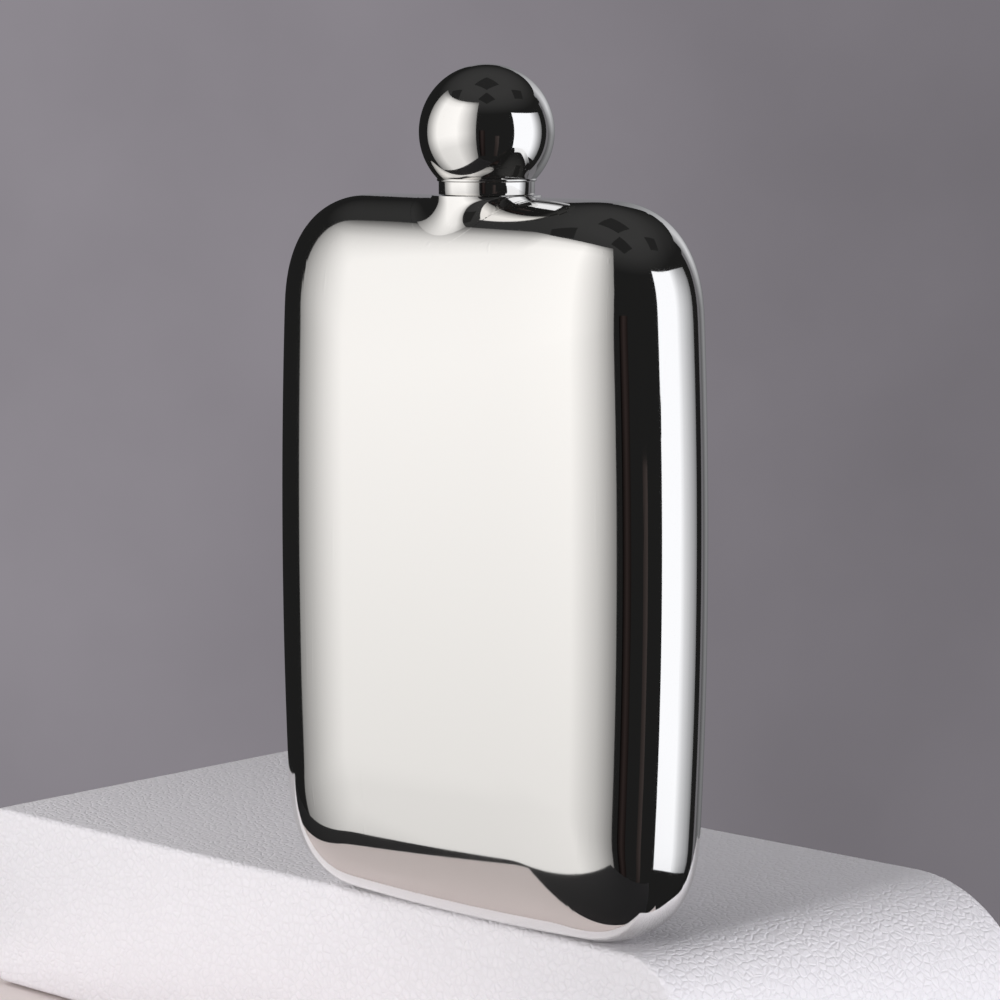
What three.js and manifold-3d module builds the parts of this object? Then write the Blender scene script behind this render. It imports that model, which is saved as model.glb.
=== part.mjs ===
// A hip flask in polished stainless steel: a pillow-shaped body of two deep-drawn shells, welded round
// their rims and ground flush, with a turned neck, and a hollow ball for a screw cap.
// Millimetres. +Z is up, X runs across the width, and the front faces -Y.
// The origin is the middle of the flat foot that the flask stands on.

import * as THREE from "three";
import { mergeVertices } from "three/addons/utils/BufferGeometryUtils.js";
import Module from "manifold-3d";

const wasm = await Module();
wasm.setup();

// ---- Driving dimensions: body ----
const BODY_HEIGHT = 118.7; // foot to shoulder
const BODY_WIDTH = 86; // at mid height, where it is widest
const BODY_DEPTH = 30; // through the middle of the two faces
const FACE_CROWN = 0.6; // rise of each face from its edges to its middle
const EDGE_DEPTH = 27; // how far the rounding of the edge runs in over the face
const TOP_EDGE_DEPTH = 21; // the same, under the shoulder
const EDGE_LEVEL = 2.4; // how softly the rounding settles into the face
const EDGE_ROUND = 2.5; // how full the rounding is at the seam
const TOP_CORNER = 18.4; // how far the rounded corners of the outline reach
const BOTTOM_CORNER = 16;
const CORNER_FULLNESS = 2.45; // 2 is a circle's quarter, and more is squarer
const FACE_CORNER = 4; // smallest corner radius where the rounding ends on the face
const SIDE_BARREL = 2.3; // how far the sides pull in at shoulder and foot
const BASE_BOW = 1.3; // how far the underside rises towards its corners
const FOOT_CUT = 0.5; // how much of the bowed underside is pressed flat
const SHEET = 0.8; // wall of the drawn sheet
const WELD_WIDTH = 0.6; // seam bead, across the seam
const WELD_PENETRATION = 0.4; // how far the bead stands inside the wall

// ---- Driving dimensions: neck ----
const NECK_BORE = 4.5; // radius
const NECK_WALL = 0.8; // bore to thread root
const NECK_RISE = 9; // rim above the shoulder
const NECK_INSIDE = 3; // length inside the body
const SHANK_RISE = 2.2; // plain part above the shoulder
const FLARE_LAND = 0.1; // how far the flare's top stands out past the collar
const FLARE_RISE = 0.6; // its top above the shoulder
const FLARE_SPREAD = 2.4; // how far it runs out over the front and rear
const FLARE_ROOT = 0.6; // how far its foot is sunk past the rounded shoulder

// ---- Driving dimensions: screw thread ----
const THREAD_PITCH = 3;
const THREAD_HEIGHT = 0.6;
const THREAD_ROOT_WIDTH = 1.4;
const THREAD_CREST_WIDTH = 0.5;
const THREAD_PLAY = 0.25; // radial, crest to root
const THREAD_BITE = 0.2; // how deep a ridge is rooted in its wall
const THREAD_LEAD = 0.35; // plain stretch at each end of a ridge

// ---- Driving dimensions: cap ----
const BALL_DIAMETER = 22;
const BALL_SHEET = 0.8;
const COLLAR_WALL = 0.5;
const COLLAR_SHOWS = 2; // length between the flare and the ball
const COLLAR_INSIDE = 2; // length inside the ball
const BEAD_RADIUS = 0.3; // half-round bead under the ball
const INSERT_WALL = 0.85; // wall behind the thread
const INSERT_CROWN = 0.8; // closed top of the threaded cup
const SEAL_THICKNESS = 1.2;
const JOINT_GAP = 0.3; // between pieces that touch

// ---- Fineness of the surfaces ----
const ROUND_STEPS = 40;
const CORNER_STEPS = 7;
const SIDE_STEPS = 8;
const END_STEPS = 5;
const EDGE_RINGS = 10;
const FACE_RINGS = 3;
const ARC_STEPS = 8;
const THREAD_STEPS = 20; // to a turn

const FAR = 400; // larger than the whole object
const FLARE_LIMIT = 0.92; // the flare stays within this share of the body's half depth
const SHOULDER = BODY_HEIGHT;
const NECK_RIM = SHOULDER + NECK_RISE;
const NECK_CORE = NECK_BORE + NECK_WALL;
const NECK_SHANK = NECK_CORE + THREAD_HEIGHT;
const SHANK_TOP = SHOULDER + SHANK_RISE + THREAD_HEIGHT; // the shank ends in a 45 degree shoulder
const INSERT_BORE = NECK_SHANK + THREAD_PLAY;
const INSERT_RADIUS = INSERT_BORE + INSERT_WALL;
const COLLAR_RADIUS = INSERT_RADIUS + JOINT_GAP + COLLAR_WALL;
const COLLAR_LOW = SHOULDER + FLARE_RISE + JOINT_GAP;
const BALL_RADIUS = BALL_DIAMETER / 2;
const BALL_INNER = BALL_RADIUS - BALL_SHEET;
const BALL_HOLE = COLLAR_RADIUS + JOINT_GAP;
const BALL_EDGE = COLLAR_LOW + COLLAR_SHOWS; // height of the ball's lower edge
const BALL_CENTRE = BALL_EDGE + Math.sqrt(BALL_RADIUS ** 2 - BALL_HOLE ** 2);
const SEAL_LOW = NECK_RIM + JOINT_GAP;
const SEAL_HIGH = SEAL_LOW + SEAL_THICKNESS;

// ---- Solids from geometry, and back ----

function solidOf(geometry) {
  const bare = geometry.clone();
  bare.deleteAttribute("normal");
  bare.deleteAttribute("uv");
  const merged = mergeVertices(bare, 1e-4);
  return new wasm.Manifold(
    new wasm.Mesh({
      numProp: 3,
      vertProperties: new Float32Array(merged.attributes.position.array),
      triVerts: new Uint32Array(merged.index.array),
    }),
  );
}

function geometryOf(solid) {
  const mesh = solid.getMesh();
  const geometry = new THREE.BufferGeometry();
  geometry.setAttribute("position", new THREE.BufferAttribute(mesh.vertProperties, 3));
  geometry.setIndex(new THREE.BufferAttribute(mesh.triVerts, 1));
  const flat = geometry.toNonIndexed();
  flat.computeVertexNormals();
  return flat;
}

// A box between two corners.
function block(low, high) {
  const box = new THREE.Box3(new THREE.Vector3(...low), new THREE.Vector3(...high));
  const size = box.getSize(new THREE.Vector3());
  const centre = box.getCenter(new THREE.Vector3());
  const geometry = new THREE.BoxGeometry(size.x, size.y, size.z);
  return solidOf(geometry.translate(centre.x, centre.y, centre.z));
}

// A turned piece: points [radius, height] of a closed profile, run anticlockwise, about the Z axis.
function turned(points) {
  const profile = points.map(([radius, height]) => new THREE.Vector2(radius, height));
  const closes = points[0][0] === 0 && points.at(-1)[0] === 0;
  if (!closes) profile.push(profile[0].clone());
  const geometry = new THREE.LatheGeometry(profile, ROUND_STEPS);
  return solidOf(geometry.rotateX(Math.PI / 2));
}

function ring(inner, outer, low, high) {
  return turned([[inner, low], [outer, low], [outer, high], [inner, high]]);
}

function rod(radius, low, high) {
  return turned([[0, low], [radius, low], [radius, high], [0, high]]);
}

// ---- The body's form ----

// Across and up, from 0 to 1, along a corner of the outline.
function cornerAt(step) {
  const turn = (Math.PI / 2) * (step / CORNER_STEPS);
  const power = 2 / CORNER_FULLNESS;
  return [Math.sin(turn) ** power, Math.cos(turn) ** power];
}

// The outline in the plane of the seam, `inset` inside the outer skin, as [x, z] points that run
// anticlockwise from the middle of the underside. The top can have an inset of its own.
function bodyOutline(inset, topCorner, bottomCorner, topInset = inset) {
  const half = BODY_WIDTH / 2 - inset;
  const top = SHOULDER - topInset;
  const bottom = inset - FOOT_CUT;
  const right = [];
  for (let i = 0; i < END_STEPS; i++) {
    right.push([((half - bottomCorner) * i) / END_STEPS, bottom]);
  }
  for (let i = 0; i <= CORNER_STEPS; i++) {
    const [across, away] = cornerAt(i);
    right.push([
      half - bottomCorner + bottomCorner * across,
      bottom + bottomCorner - bottomCorner * away,
    ]);
  }
  const low = bottom + bottomCorner;
  const high = top - topCorner;
  for (let i = 1; i < SIDE_STEPS; i++) {
    right.push([half, low + ((high - low) * i) / SIDE_STEPS]);
  }
  for (let i = 0; i <= CORNER_STEPS; i++) {
    const [up, across] = cornerAt(i);
    right.push([half - topCorner + topCorner * across, top - topCorner + topCorner * up]);
  }
  for (let i = 1; i <= END_STEPS; i++) {
    right.push([(half - topCorner) * (1 - i / END_STEPS), top]);
  }
  const left = right.slice(1, -1).reverse().map(([x, z]) => [-x, z]);
  return [...right, ...left].map(bowed);
}

// Barrels the sides and bows the underside.
function bowed([x, z]) {
  const middle = SHOULDER / 2;
  const across = x / (BODY_WIDTH / 2);
  const along = (z - middle) / middle;
  const lift = along < 0 ? -BASE_BOW * across * across * along : 0;
  return [x - SIDE_BARREL * along * along * across, z + lift];
}

const EDGE_HALF_DEPTH = BODY_DEPTH / 2 - FACE_CROWN; // of the face at its edges

// How far the rounding has risen from the seam towards the face, after a share of its run.
function riseAt(share) {
  return (1 - (1 - share) ** EDGE_LEVEL) ** (1 / EDGE_ROUND);
}

// How far the shoulder has dropped below its top, at a distance in front of the seam.
function shoulderDrop(forward) {
  const rise = (forward / EDGE_HALF_DEPTH) ** EDGE_ROUND;
  return TOP_EDGE_DEPTH * (1 - (1 - rise) ** (1 / EDGE_LEVEL));
}

// How far the face stands from the seam plane beyond its edge, at a point of the face.
function crownAt([x, z], inset) {
  const across = x / (BODY_WIDTH / 2 - inset);
  const along = (z - SHOULDER / 2) / (SHOULDER / 2 - inset);
  return FACE_CROWN * (1 - across * across) * (1 - along * along);
}

// The whole pillow, `inset` inside the outer skin: rings run from the seam in over each face.
function pillow(inset) {
  const halfDepth = EDGE_HALF_DEPTH - inset;
  const seam = bodyOutline(inset, TOP_CORNER - inset, BOTTOM_CORNER - inset);
  const faceEdge = bodyOutline(EDGE_DEPTH, FACE_CORNER, FACE_CORNER, TOP_EDGE_DEPTH);
  const centre = [0, SHOULDER / 2];
  const mix = (from, to, share) => from.map((v, axis) => v + (to[axis] - v) * share);
  const rings = [];
  for (let i = 0; i <= EDGE_RINGS; i++) {
    const share = (i / EDGE_RINGS) ** 2;
    rings.push({
      points: seam.map((point, k) => mix(point, faceEdge[k], share)),
      rise: riseAt(share),
    });
  }
  for (let i = 1; i < FACE_RINGS; i++) {
    rings.push({
      points: faceEdge.map((point) => mix(point, centre, i / FACE_RINGS)),
      rise: 1,
    });
  }
  const count = seam.length;
  const positions = [];
  const place = (side) => ({ points, rise }) =>
    points.forEach((point) => {
      const depth = rise * (halfDepth + crownAt(point, inset));
      positions.push(point[0], side * depth, point[1]);
    });
  rings.forEach(place(-1));
  rings.slice(1).forEach(place(1));
  const poles = [-1, 1].map((side) => {
    positions.push(centre[0], side * (halfDepth + crownAt(centre, inset)), centre[1]);
    return positions.length / 3 - 1;
  });
  const faces = [];
  const skin = (start, flip) => {
    const rows = rings.map((_, i) => (i === 0 ? 0 : (start + i) * count));
    for (let i = 0; i + 1 < rows.length; i++) {
      for (let k = 0; k < count; k++) {
        const next = (k + 1) % count;
        const quad = [rows[i] + k, rows[i] + next, rows[i + 1] + next, rows[i + 1] + k];
        if (flip) quad.reverse();
        faces.push(quad[0], quad[1], quad[2], quad[0], quad[2], quad[3]);
      }
    }
    const last = rows.at(-1);
    for (let k = 0; k < count; k++) {
      const edge = [last + k, last + ((k + 1) % count)];
      if (flip) edge.reverse();
      faces.push(edge[0], edge[1], poles[flip ? 1 : 0]);
    }
  };
  skin(0, false);
  skin(rings.length - 1, true);
  const geometry = new THREE.BufferGeometry();
  geometry.setAttribute("position", new THREE.Float32BufferAttribute(positions, 3));
  geometry.setIndex(faces);
  return solidOf(geometry);
}

// Outer form pressed flat at the foot, and the hollow, which keeps the sheet's wall over the foot.
const outerForm = pillow(0).intersect(block([-FAR, -FAR, 0], [FAR, FAR, FAR]));
const hollow = pillow(SHEET).intersect(block([-FAR, -FAR, SHEET], [FAR, FAR, FAR]));
const neckHole = rod(NECK_SHANK + JOINT_GAP, SHOULDER / 2, SHOULDER + FAR);

// A half shell on one side of the seam: -1 is the front, 1 the rear.
function halfShell(side) {
  const rim = WELD_WIDTH / 2 + JOINT_GAP;
  const edges = [side * rim, side * FAR].sort((a, b) => a - b);
  const halfSpace = block([-FAR, edges[0], -FAR], [FAR, edges[1], FAR]);
  return outerForm.subtract(hollow).intersect(halfSpace).subtract(neckHole);
}

// The weld metal between the two rims, ground flush outside and left proud inside.
function seamWeld() {
  const strip = block([-FAR, -WELD_WIDTH / 2, -FAR], [FAR, WELD_WIDTH / 2, FAR]);
  const inside = pillow(SHEET + WELD_PENETRATION).intersect(
    block([-FAR, -FAR, SHEET + WELD_PENETRATION], [FAR, FAR, FAR]),
  );
  return outerForm.subtract(inside).intersect(strip).subtract(neckHole);
}

// ---- The neck ----

// One ridge of a right-handed thread about the Z axis, faded out at both ends. It fills the stretch
// between two heights, and its helix crosses the XZ plane at the height `phase`.
function threadRidge(rootRadius, crestRadius, low, high, phase) {
  const outwards = Math.sign(crestRadius - rootRadius);
  const start = low + THREAD_LEAD + THREAD_ROOT_WIDTH / 2;
  const end = high - THREAD_LEAD - THREAD_ROOT_WIDTH / 2;
  const steps = Math.max(2, Math.round(((end - start) / THREAD_PITCH) * THREAD_STEPS));
  const fade = THREAD_STEPS / 6;
  const positions = [];
  for (let i = 0; i <= steps; i++) {
    const height = start + ((end - start) * i) / steps;
    const turn = (2 * Math.PI * (height - phase)) / THREAD_PITCH;
    const full = Math.min(1, (i + 0.5) / fade, (steps - i + 0.5) / fade);
    const root = rootRadius - outwards * THREAD_BITE;
    const crest = rootRadius + (crestRadius - rootRadius) * full;
    const section = [
      [root, -THREAD_ROOT_WIDTH / 2],
      [crest, -THREAD_CREST_WIDTH / 2],
      [crest, THREAD_CREST_WIDTH / 2],
      [root, THREAD_ROOT_WIDTH / 2],
    ];
    section.forEach(([radius, offset]) =>
      positions.push(radius * Math.cos(turn), radius * Math.sin(turn), height + offset),
    );
  }
  const faces = [];
  const quad = (a, b, c, d) => faces.push(a, b, c, a, c, d);
  for (let i = 0; i < steps; i++) {
    for (let k = 0; k < 4; k++) {
      const next = (k + 1) % 4;
      quad(4 * i + k, 4 * i + 4 + k, 4 * i + 4 + next, 4 * i + next);
    }
  }
  quad(0, 1, 2, 3);
  quad(4 * steps + 3, 4 * steps + 2, 4 * steps + 1, 4 * steps);
  if (outwards < 0) faces.reverse();
  const geometry = new THREE.BufferGeometry();
  geometry.setAttribute("position", new THREE.Float32BufferAttribute(positions, 3));
  geometry.setIndex(faces);
  return solidOf(geometry);
}

// The spout: a turned tube, plain through the shoulder and threaded above it.
function neckTube() {
  const tube = turned([
    [NECK_BORE, SHOULDER - NECK_INSIDE],
    [NECK_SHANK, SHOULDER - NECK_INSIDE],
    [NECK_SHANK, SHANK_TOP - THREAD_HEIGHT],
    [NECK_CORE, SHANK_TOP],
    [NECK_CORE, NECK_RIM],
    [NECK_BORE, NECK_RIM],
  ]);
  const crest = NECK_CORE + THREAD_HEIGHT;
  return tube.add(threadRidge(NECK_CORE, crest, SHANK_TOP, NECK_RIM, SHANK_TOP));
}

// The flare that carries the shoulder up to the neck: a turned ring with a hollow side, fitted to the
// rounded shoulder.
function neckFlare() {
  const inner = NECK_SHANK + JOINT_GAP;
  const land = COLLAR_RADIUS + FLARE_LAND;
  const spread = Math.min(FLARE_SPREAD, EDGE_HALF_DEPTH * FLARE_LIMIT - land);
  const top = SHOULDER + FLARE_RISE;
  const foot = SHOULDER - shoulderDrop(land + spread) - FLARE_ROOT;
  const side = [];
  for (let i = 0; i <= ARC_STEPS; i++) {
    const turn = (Math.PI / 2) * (i / ARC_STEPS);
    side.push([
      land + spread * (1 - Math.cos(turn)),
      top - (top - foot) * Math.sin(turn),
    ]);
  }
  const flare = turned([[inner, foot], ...side.reverse(), [inner, top]]);
  return flare.subtract(pillow(-JOINT_GAP));
}

// ---- The cap ----

// Points of an arc about the ball's centre, from one height to another, at a radius from that centre.
function ballArc(radius, fromHeight, toHeight) {
  const from = Math.asin(fromHeight / radius);
  const to = Math.asin(toHeight / radius);
  const points = [];
  for (let i = 0; i <= ARC_STEPS; i++) {
    const turn = from + ((to - from) * i) / ARC_STEPS;
    points.push([radius * Math.cos(turn), BALL_CENTRE + radius * Math.sin(turn)]);
  }
  return points;
}

const BALL_RIM = WELD_WIDTH / 2 + JOINT_GAP;

// The closed half of the ball, a pressed cup upside down.
function ballUpper() {
  const outer = ballArc(BALL_RADIUS, BALL_RIM, BALL_RADIUS);
  const inner = ballArc(BALL_INNER, BALL_RIM, BALL_INNER).reverse();
  outer.at(-1)[0] = 0;
  inner[0][0] = 0;
  return turned([...inner, ...outer]);
}

// The lower half, open underneath for the collar.
function ballLower() {
  const lip = (radius) => -Math.sqrt(radius * radius - BALL_HOLE * BALL_HOLE);
  const outer = ballArc(BALL_RADIUS, lip(BALL_RADIUS), -BALL_RIM);
  const inner = ballArc(BALL_INNER, lip(BALL_INNER), -BALL_RIM).reverse();
  return turned([...outer, ...inner]);
}

// The weld metal round the ball's middle, ground flush.
function ballWeld() {
  const edge = WELD_WIDTH / 2;
  return ring(
    BALL_INNER - WELD_PENETRATION,
    BALL_RADIUS,
    BALL_CENTRE - edge,
    BALL_CENTRE + edge,
  );
}

// The short tube under the ball, with a half-round bead where the ball seats on it.
function capCollar() {
  const low = COLLAR_LOW;
  const high = BALL_EDGE + COLLAR_INSIDE;
  const beadCentre = BALL_EDGE - JOINT_GAP - BEAD_RADIUS;
  const bead = [];
  for (let i = 0; i <= ARC_STEPS; i++) {
    const turn = -Math.PI / 2 + (Math.PI * i) / ARC_STEPS;
    bead.push([
      COLLAR_RADIUS + BEAD_RADIUS * Math.cos(turn),
      beadCentre + BEAD_RADIUS * Math.sin(turn),
    ]);
  }
  return turned([
    [COLLAR_RADIUS - COLLAR_WALL, low],
    [COLLAR_RADIUS, low],
    ...bead,
    [COLLAR_RADIUS, high],
    [COLLAR_RADIUS - COLLAR_WALL, high],
  ]);
}

// The threaded cup fixed inside the collar and the ball, which screws down over the neck. In a small
// ball its crown is rounded to the ball's hollow.
function threadInsert() {
  const low = COLLAR_LOW + JOINT_GAP;
  const roof = SEAL_HIGH + JOINT_GAP;
  const cup = turned([
    [0, roof],
    [INSERT_BORE, roof],
    [INSERT_BORE, low],
    [INSERT_RADIUS, low],
    [INSERT_RADIUS, roof + INSERT_CROWN],
    [0, roof + INSERT_CROWN],
  ]);
  const crest = INSERT_BORE - THREAD_HEIGHT;
  const phase = SHANK_TOP + THREAD_PITCH / 2;
  const ridge = threadRidge(INSERT_BORE, crest, SHANK_TOP, SEAL_LOW, phase);
  const hollowBall = new THREE.SphereGeometry(BALL_INNER - JOINT_GAP, ROUND_STEPS, ROUND_STEPS / 2);
  const upperRoom = solidOf(hollowBall.translate(0, 0, BALL_CENTRE));
  const lowerRoom = rod(INSERT_RADIUS + JOINT_GAP, low, BALL_CENTRE);
  return cup.add(ridge).intersect(upperRoom.add(lowerRoom));
}

// The soft washer that the neck's rim presses on.
function sealWasher() {
  return rod(INSERT_BORE - JOINT_GAP, SEAL_LOW, SEAL_HIGH);
}

// ---- The assembly ----

const polished = { color: 0xd8d5d2, roughness: 0.06, metalness: 1 };
const drawn = { color: 0xb9b6b2, roughness: 0.35, metalness: 1 };
const turnedSteel = { color: 0xc4c1bd, roughness: 0.22, metalness: 1 };
const silicone = { color: 0xe6e4de, roughness: 0.6, metalness: 0 };

function piece(name, solid, finish) {
  const mesh = new THREE.Mesh(geometryOf(solid), new THREE.MeshStandardMaterial(finish));
  mesh.name = name;
  return mesh;
}

const body = new THREE.Group();
body.add(
  piece("front_shell", halfShell(-1), polished),
  piece("rear_shell", halfShell(1), polished),
  piece("seam_weld", seamWeld(), drawn),
  piece("neck_flare", neckFlare(), polished),
  piece("neck_tube", neckTube(), turnedSteel),
);

const cap = new THREE.Group();
cap.add(
  piece("seal_washer", sealWasher(), silicone),
  piece("thread_insert", threadInsert(), turnedSteel),
  piece("cap_collar", capCollar(), polished),
  piece("ball_lower", ballLower(), polished),
  piece("ball_weld", ballWeld(), drawn),
  piece("ball_upper", ballUpper(), polished),
);

const flask = new THREE.Group();
flask.add(body, cap);

export default flask;
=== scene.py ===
import math

import bmesh
import bpy
from mathutils import Matrix, Vector


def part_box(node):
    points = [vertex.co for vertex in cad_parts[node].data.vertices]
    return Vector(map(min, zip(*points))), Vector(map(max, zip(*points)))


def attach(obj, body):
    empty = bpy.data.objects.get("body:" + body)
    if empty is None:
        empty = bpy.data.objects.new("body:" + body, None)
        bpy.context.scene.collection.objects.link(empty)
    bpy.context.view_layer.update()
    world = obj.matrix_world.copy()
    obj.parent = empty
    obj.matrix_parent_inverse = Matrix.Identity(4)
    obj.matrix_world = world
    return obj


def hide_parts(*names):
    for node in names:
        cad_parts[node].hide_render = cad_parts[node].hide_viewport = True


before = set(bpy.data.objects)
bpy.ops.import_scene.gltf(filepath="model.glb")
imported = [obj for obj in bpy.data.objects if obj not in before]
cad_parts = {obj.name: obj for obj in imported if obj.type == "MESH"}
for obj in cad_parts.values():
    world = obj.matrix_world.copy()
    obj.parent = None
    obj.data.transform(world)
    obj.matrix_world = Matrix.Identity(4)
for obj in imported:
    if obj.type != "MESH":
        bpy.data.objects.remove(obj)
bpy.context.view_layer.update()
MM = 0.001

# ---------------------------------------------------------------------------------------------
# Front and rear shell. The two halves of the body, deep drawn from stainless sheet, welded round
# their rims and polished until the seam can't be seen. The hollow side keeps its dull drawn finish.
# ---------------------------------------------------------------------------------------------
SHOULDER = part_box("seam_weld")[1][2]
BODY_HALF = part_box("seam_weld")[1][0]
BODY_MIDDLE = SHOULDER / 2
HALF_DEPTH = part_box("rear_shell")[1][1]
FACE_CROWN = 0.6 * MM
EDGE_DEPTH = 27 * MM
TOP_EDGE_DEPTH = 21 * MM
EDGE_LEVEL = 2.4
EDGE_ROUND = 2.5
TOP_CORNER = 18.4 * MM
BOTTOM_CORNER = 16 * MM
FACE_CORNER = 4 * MM
CORNER_FULLNESS = 2.45
SIDE_BARREL = 2.3 * MM
BASE_BOW = 1.3 * MM
FOOT_CUT = 0.5 * MM
SHEET = 0.8 * MM
NECK_HOLE = 6.2 * MM
CORNER_STEPS = 22
SIDE_STEPS = 34
END_STEPS = 18
EDGE_RINGS = 46
FACE_RINGS = 12


def corner_at(step):
    """Across and up, from 0 to 1, along a corner of the outline."""
    turn = math.pi / 2 * step / CORNER_STEPS
    power = 2 / CORNER_FULLNESS
    return math.sin(turn) ** power, abs(math.cos(turn)) ** power


def body_outline(inset, top_corner, bottom_corner, top_inset=None):
    """The outline in the plane of the seam, anticlockwise from the middle of the underside. The top
    can have an inset of its own."""
    half = BODY_HALF - inset
    top = SHOULDER - (inset if top_inset is None else top_inset)
    bottom = inset - FOOT_CUT
    right = [((half - bottom_corner) * i / END_STEPS, bottom) for i in range(END_STEPS)]
    for i in range(CORNER_STEPS + 1):
        across, away = corner_at(i)
        right.append((half - bottom_corner * (1 - across), bottom + bottom_corner * (1 - away)))
    low = bottom + bottom_corner
    high = top - top_corner
    right += [(half, low + (high - low) * i / SIDE_STEPS) for i in range(1, SIDE_STEPS)]
    for i in range(CORNER_STEPS + 1):
        up, across = corner_at(i)
        right.append((half - top_corner * (1 - across), top - top_corner * (1 - up)))
    right += [((half - top_corner) * (1 - i / END_STEPS), top) for i in range(1, END_STEPS + 1)]
    left = [(-x, z) for x, z in right[-2:0:-1]]
    return [bowed(x, z) for x, z in right + left]


def bowed(x, z):
    """Barrels the sides and bows the underside."""
    across = x / BODY_HALF
    along = (z - BODY_MIDDLE) / BODY_MIDDLE
    lift = -BASE_BOW * across * across * along if along < 0 else 0
    return x - SIDE_BARREL * along * along * across, z + lift


def skin_point(seam, face_edge, share, inward):
    """A point of the front skin: `share` runs over the rounding, then `inward` over the face."""
    x = seam[0] + (face_edge[0] - seam[0]) * share
    z = seam[1] + (face_edge[1] - seam[1]) * share
    x *= 1 - inward
    z += (BODY_MIDDLE - z) * inward
    across = x / BODY_HALF
    along = (z - BODY_MIDDLE) / BODY_MIDDLE
    crown = FACE_CROWN * (1 - across * across) * (1 - along * along)
    rise = (1 - (1 - share) ** EDGE_LEVEL) ** (1 / EDGE_ROUND)
    return Vector((x, -rise * (HALF_DEPTH - FACE_CROWN + crown), z))


def front_skin():
    """The outer skin of the front half: a ring at the seam, drawn in ring by ring to the face."""
    seam = body_outline(0, TOP_CORNER, BOTTOM_CORNER)
    face_edge = body_outline(EDGE_DEPTH, FACE_CORNER, FACE_CORNER, TOP_EDGE_DEPTH)
    stages = [((i / EDGE_RINGS) ** 2, 0) for i in range(EDGE_RINGS + 1)]
    stages += [(1, i / FACE_RINGS) for i in range(1, FACE_RINGS)]
    skin = bmesh.new()
    station = skin.verts.layers.int.new("station")
    ring = bmesh.ops.create_circle(skin, segments=len(seam), radius=BODY_HALF)["verts"]
    for k, vert in enumerate(ring):
        vert[station] = k
        vert.co = skin_point(seam[k], face_edge[k], 0, 0)
    rim = skin.edges[:]
    for share, inward in stages[1:]:
        grown = bmesh.ops.extrude_edge_only(skin, edges=rim)["geom"]
        ring = [part for part in grown if isinstance(part, bmesh.types.BMVert)]
        for vert in ring:
            k = vert[station]
            vert.co = skin_point(seam[k], face_edge[k], share, inward)
        fresh = set(ring)
        rim = [edge for edge in skin.edges if edge.verts[0] in fresh and edge.verts[1] in fresh]
    grown = bmesh.ops.extrude_edge_only(skin, edges=rim)["geom"]
    ring = [part for part in grown if isinstance(part, bmesh.types.BMVert)]
    middle = skin_point((0, BODY_MIDDLE), (0, BODY_MIDDLE), 1, 1)
    bmesh.ops.pointmerge(skin, verts=ring, merge_co=middle)
    return skin


def point_outwards(mesh, probe_face, outwards):
    """Turns the faces of an open skin round when its probe face looks the wrong way."""
    mesh.normal_update()
    if probe_face.normal.dot(outwards) < 0:
        bmesh.ops.reverse_faces(mesh, faces=mesh.faces[:])
    mesh.normal_update()


def shade(obj, sharp_degrees=35):
    """Smooth faces, with a hard edge wherever two faces meet at more than this."""
    for polygon in obj.data.polygons:
        polygon.use_smooth = True
    mesh = bmesh.new()
    mesh.from_mesh(obj.data)
    for edge in mesh.edges:
        edge.smooth = not (edge.is_manifold and edge.calc_face_angle(0) > math.radians(sharp_degrees))
    mesh.to_mesh(obj.data)
    mesh.free()


def add_piece(name, mesh, materials, body, nodes):
    """A finished mesh becomes a piece that rides on a body and stands for its CAD nodes."""
    data = bpy.data.meshes.new(name)
    mesh.to_mesh(data)
    mesh.free()
    piece = bpy.data.objects.new(name, data)
    bpy.context.collection.objects.link(piece)
    for material in materials:
        data.materials.append(material)
    shade(piece)
    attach(piece, body)
    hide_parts(*nodes)
    return piece


def keep_skin_normals(piece, normal_at):
    """Gives the outer skin the normals of the whole polished form, so no seam shows where it ends."""
    data = piece.data
    normals = [Vector()] * len(data.loops)
    for polygon in data.polygons:
        for k in polygon.loop_indices:
            true = normal_at(data.vertices[data.loops[k].vertex_index].co)
            if true is not None and true.dot(polygon.normal) > 0.9:
                normals[k] = true
    data.normals_split_custom_set(normals)


def material_nodes(name):
    """A new node material: the material, its nodes, its links and its surface shader."""
    material = bpy.data.materials.new(name)
    material.use_nodes = True
    tree = material.node_tree
    return material, tree.nodes, tree.links, tree.nodes["Principled BSDF"]


def noise_on_object(nodes, links, scale, stretch, detail=3.0):
    """Noise on Object coordinates, stretched by one factor for each axis."""
    place = nodes.new("ShaderNodeTexCoord")
    turn = nodes.new("ShaderNodeMapping")
    turn.inputs["Scale"].default_value = stretch
    noise = nodes.new("ShaderNodeTexNoise")
    noise.inputs["Scale"].default_value = scale
    noise.inputs["Detail"].default_value = detail
    links.new(place.outputs["Object"], turn.inputs["Vector"])
    links.new(turn.outputs["Vector"], noise.inputs["Vector"])
    return noise


def ramp_between(nodes, links, source, low, high, from_low=0.35, from_high=0.65):
    """Maps a grey pattern to a plain range of values."""
    scale = nodes.new("ShaderNodeMapRange")
    scale.inputs["From Min"].default_value = from_low
    scale.inputs["From Max"].default_value = from_high
    scale.inputs["To Min"].default_value = low
    scale.inputs["To Max"].default_value = high
    links.new(source, scale.inputs["Value"])
    return scale.outputs["Result"]


def add_bump(nodes, links, height, distance, strength, under=None):
    """A bump of a named height in metres, over another bump where one is given."""
    bump = nodes.new("ShaderNodeBump")
    bump.inputs["Distance"].default_value = distance
    bump.inputs["Strength"].default_value = strength
    links.new(height, bump.inputs["Height"])
    if under is not None:
        links.new(under.outputs["Normal"], bump.inputs["Normal"])
    return bump


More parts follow.
